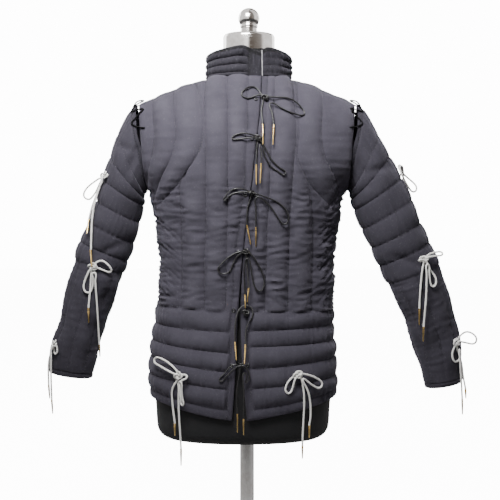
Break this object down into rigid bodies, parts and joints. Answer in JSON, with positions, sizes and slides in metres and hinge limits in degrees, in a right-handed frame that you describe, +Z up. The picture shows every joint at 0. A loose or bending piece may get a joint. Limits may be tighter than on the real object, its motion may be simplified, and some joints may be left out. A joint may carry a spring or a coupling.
{
  "type": "gambeson on a limbless dress form with a post and a round base",
  "caption": "Padded, quilted historic coat with a standing collar, laced sleeves and tied front, worn by a limbless dress form on a post.",
  "frame": {"origin": "middle of the base's underside, on the floor", "axes": "+Z up along the post, the coat's front faces -Y, +X is the wearer's left"},
  "size_m": [0.9538, 0.3129, 1.187],
  "materials": {
    "cloth": "matt woven cloth, quilted over wadding",
    "form": "fine black jersey cover",
    "steel": "polished steel",
    "black_lace": "twisted cord",
    "white_lace": "twisted cord",
    "brass": "polished, lightly worn"
  },
  "bodies": {
    "root": {"front_right": "cloth", "front_left": "cloth", "back": "cloth", "collar": "cloth", "sleeve_right": "cloth", "sleeve_left": "cloth", "form_torso": "form", "neck_cap": "steel", "finial": "steel", "post": "steel", "base": "steel", "armhole_lacing_right": "black_lace", "armhole_lacing_left": "black_lace", "front_tie_1": "black_lace", "front_tie_1_aglet_a": "brass", "front_tie_1_aglet_b": "brass", "front_tie_2": "black_lace", "front_tie_2_aglet_a": "brass", "front_tie_2_aglet_b": "brass", "front_tie_3": "black_lace", "front_tie_3_aglet_a": "brass", "front_tie_3_aglet_b": "brass", "front_tie_4": "black_lace", "front_tie_4_aglet_a": "brass", "front_tie_4_aglet_b": "brass", "front_tie_5": "black_lace", "front_tie_5_aglet_a": "brass", "front_tie_5_aglet_b": "brass", "front_tie_6": "black_lace", "front_tie_6_aglet_a": "brass", "front_tie_6_aglet_b": "brass", "sleeve_tie_1": "white_lace", "sleeve_tie_1_aglet_a": "brass", "sleeve_tie_1_aglet_b": "brass", "sleeve_tie_2": "white_lace", "sleeve_tie_2_aglet_a": "brass", "sleeve_tie_2_aglet_b": "brass", "sleeve_tie_3": "white_lace", "sleeve_tie_3_aglet_a": "brass", "sleeve_tie_3_aglet_b": "brass", "sleeve_tie_4": "white_lace", "sleeve_tie_4_aglet_a": "brass", "sleeve_tie_4_aglet_b": "brass", "sleeve_tie_5": "white_lace", "sleeve_tie_5_aglet_a": "brass", "sleeve_tie_5_aglet_b": "brass", "sleeve_tie_6": "white_lace", "sleeve_tie_6_aglet_a": "brass", "sleeve_tie_6_aglet_b": "brass", "skirt_tie_7": "white_lace", "skirt_tie_7_aglet_a": "brass", "skirt_tie_7_aglet_b": "brass", "skirt_tie_8": "white_lace", "skirt_tie_8_aglet_a": "brass", "skirt_tie_8_aglet_b": "brass"}
  },
  "joints": []
}
